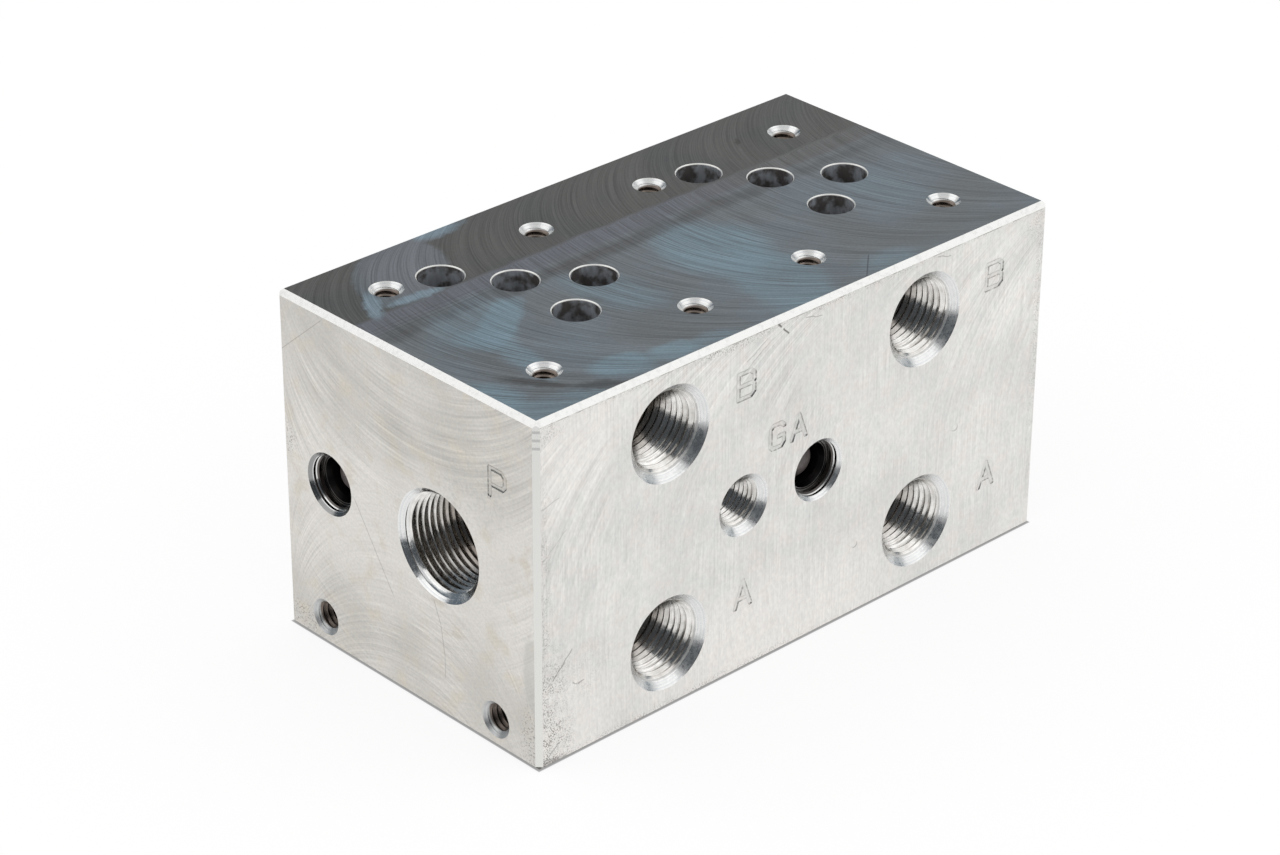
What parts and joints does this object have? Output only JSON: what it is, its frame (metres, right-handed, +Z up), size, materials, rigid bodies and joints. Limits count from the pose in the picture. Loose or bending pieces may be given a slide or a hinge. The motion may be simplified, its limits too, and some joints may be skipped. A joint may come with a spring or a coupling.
{
  "type": "hydraulic manifold block",
  "caption": "Machined aluminium bar block with tapped side and end ports, top valve port patterns and cross-drilled oil galleries closed by ball plugs.",
  "frame": {"origin": "centre of the underside", "axes": "+X along the bar towards the tank port end, -Y out of the long side with the work ports, +Z up out of the valve face"},
  "size_m": [0.165, 0.0888, 0.0889],
  "materials": {
    "milled_aluminium": "milled bar stock, sides bright and brushed, top face dull grey with coolant stains",
    "plug_sleeve_steel": "turned, zinc phosphated",
    "plug_ball_steel": "black oxide over a ground ball"
  },
  "bodies": {
    "root": {"manifold_body": "milled_aluminium", "side_plug_sleeve": "plug_sleeve_steel", "side_plug_ball": "plug_ball_steel", "left_end_plug_sleeve": "plug_sleeve_steel", "left_end_plug_ball": "plug_ball_steel", "right_end_plug_sleeve": "plug_sleeve_steel", "right_end_plug_ball": "plug_ball_steel"}
  },
  "joints": []
}
